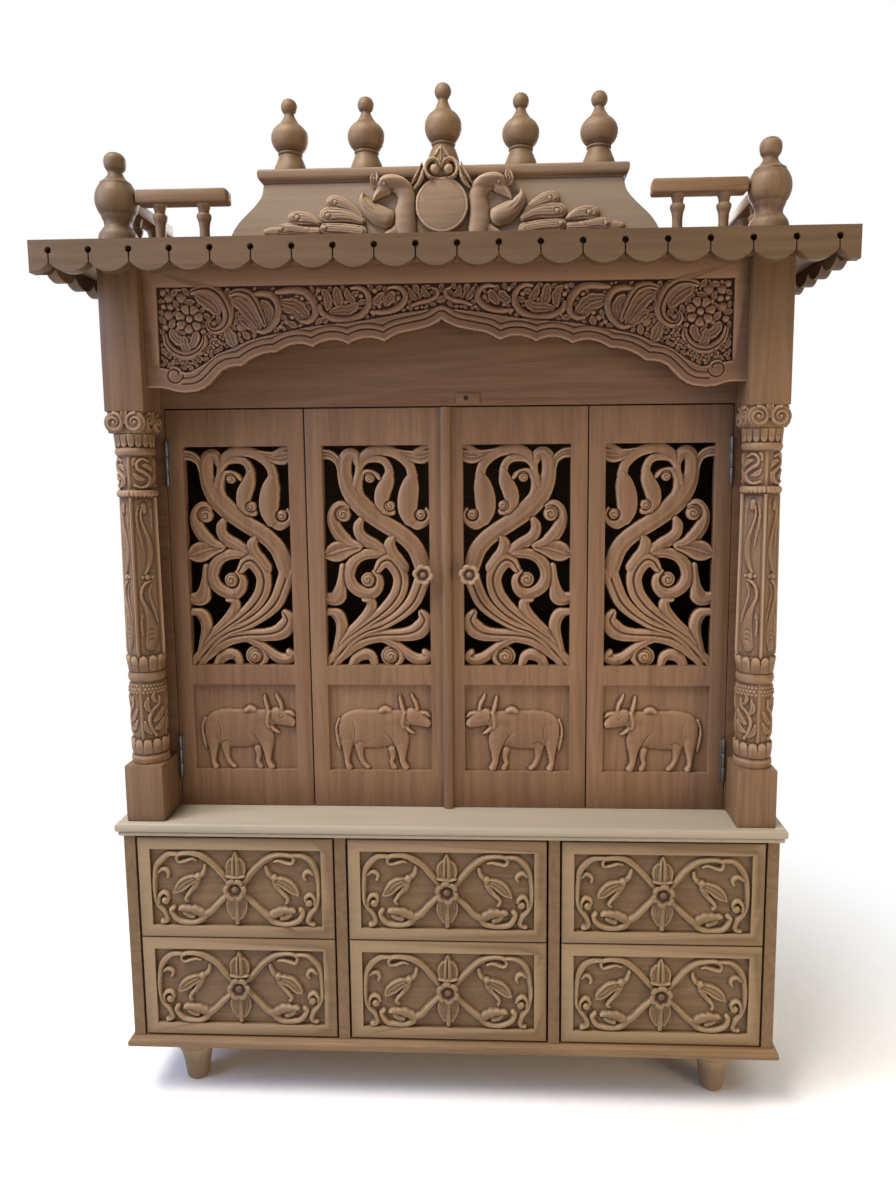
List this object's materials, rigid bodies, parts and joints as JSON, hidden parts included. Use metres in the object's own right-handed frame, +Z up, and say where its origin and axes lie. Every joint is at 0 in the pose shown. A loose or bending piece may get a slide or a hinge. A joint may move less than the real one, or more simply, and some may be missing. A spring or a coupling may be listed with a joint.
{
  "type": "carved wooden home temple with drawers",
  "caption": "Carved wooden home temple: a footed drawer base, a shrine with pierced folding doors between turned pillars, scalloped eaves and a crown with finials.",
  "frame": {"origin": "on the floor, midway across the width and midway between the front fascia and the back", "axes": "+Z up, +X to the right seen from the front, the front faces -Y"},
  "size_m": [1.186, 0.572, 1.6723],
  "materials": {
    "carved_wood": "satin, bare sanded",
    "hinge_steel": "satin"
  },
  "bodies": {
    "root": {"foot_front_left": "carved_wood", "foot_front_right": "carved_wood", "foot_back_left": "carved_wood", "foot_back_right": "carved_wood", "plinth_board": "carved_wood", "counter_top": "carved_wood", "base_back": "carved_wood", "base_side_left": "carved_wood", "base_side_right": "carved_wood", "base_divider_left": "carved_wood", "base_divider_right": "carved_wood", "pillar_left": "carved_wood", "pillar_right": "carved_wood", "upper_side_left": "carved_wood", "upper_side_right": "carved_wood", "upper_back": "carved_wood", "door_frame": "carved_wood", "arch_panel": "carved_wood", "door_leaf_outer_left": "carved_wood", "door_leaf_inner_left": "carved_wood", "door_leaf_inner_right": "carved_wood", "door_leaf_outer_right": "carved_wood", "door_astragal": "carved_wood", "door_knob_left": "carved_wood", "door_knob_right": "carved_wood", "hinge_left_lower": "hinge_steel", "hinge_left_upper": "hinge_steel", "hinge_right_lower": "hinge_steel", "hinge_right_upper": "hinge_steel", "roof_board": "carved_wood", "fascia_front": "carved_wood", "fascia_left": "carved_wood", "fascia_right": "carved_wood", "corner_finial_left": "carved_wood", "corner_finial_right": "carved_wood", "balustrade_front_left": "carved_wood", "balustrade_front_right": "carved_wood", "balustrade_side_left": "carved_wood", "balustrade_side_right": "carved_wood", "crown_body": "carved_wood", "crown_plate": "carved_wood", "crown_carving": "carved_wood", "crown_finial_1": "carved_wood", "crown_finial_2": "carved_wood", "crown_finial_3": "carved_wood", "crown_finial_4": "carved_wood", "crown_finial_5": "carved_wood"},
    "drawer_bottom_left": {"drawer_front_bottom_left": "carved_wood", "drawer_box_bottom_left": "carved_wood"},
    "drawer_bottom_middle": {"drawer_front_bottom_middle": "carved_wood", "drawer_box_bottom_middle": "carved_wood"},
    "drawer_bottom_right": {"drawer_front_bottom_right": "carved_wood", "drawer_box_bottom_right": "carved_wood"},
    "drawer_top_left": {"drawer_front_top_left": "carved_wood", "drawer_box_top_left": "carved_wood"},
    "drawer_top_middle": {"drawer_front_top_middle": "carved_wood", "drawer_box_top_middle": "carved_wood"},
    "drawer_top_right": {"drawer_front_top_right": "carved_wood", "drawer_box_top_right": "carved_wood"}
  },
  "joints": [
    {"name": "drawer_bottom_left_slide", "type": "slide", "parent": "root", "child": "drawer_bottom_left", "axis": [0, -1, 0], "range_m": [0, 0.3]},
    {"name": "drawer_bottom_middle_slide", "type": "slide", "parent": "root", "child": "drawer_bottom_middle", "axis": [0, -1, 0], "range_m": [0, 0.3]},
    {"name": "drawer_bottom_right_slide", "type": "slide", "parent": "root", "child": "drawer_bottom_right", "axis": [0, -1, 0], "range_m": [0, 0.3]},
    {"name": "drawer_top_left_slide", "type": "slide", "parent": "root", "child": "drawer_top_left", "axis": [0, -1, 0], "range_m": [0, 0.3]},
    {"name": "drawer_top_middle_slide", "type": "slide", "parent": "root", "child": "drawer_top_middle", "axis": [0, -1, 0], "range_m": [0, 0.3]},
    {"name": "drawer_top_right_slide", "type": "slide", "parent": "root", "child": "drawer_top_right", "axis": [0, -1, 0], "range_m": [0, 0.3]}
  ]
}
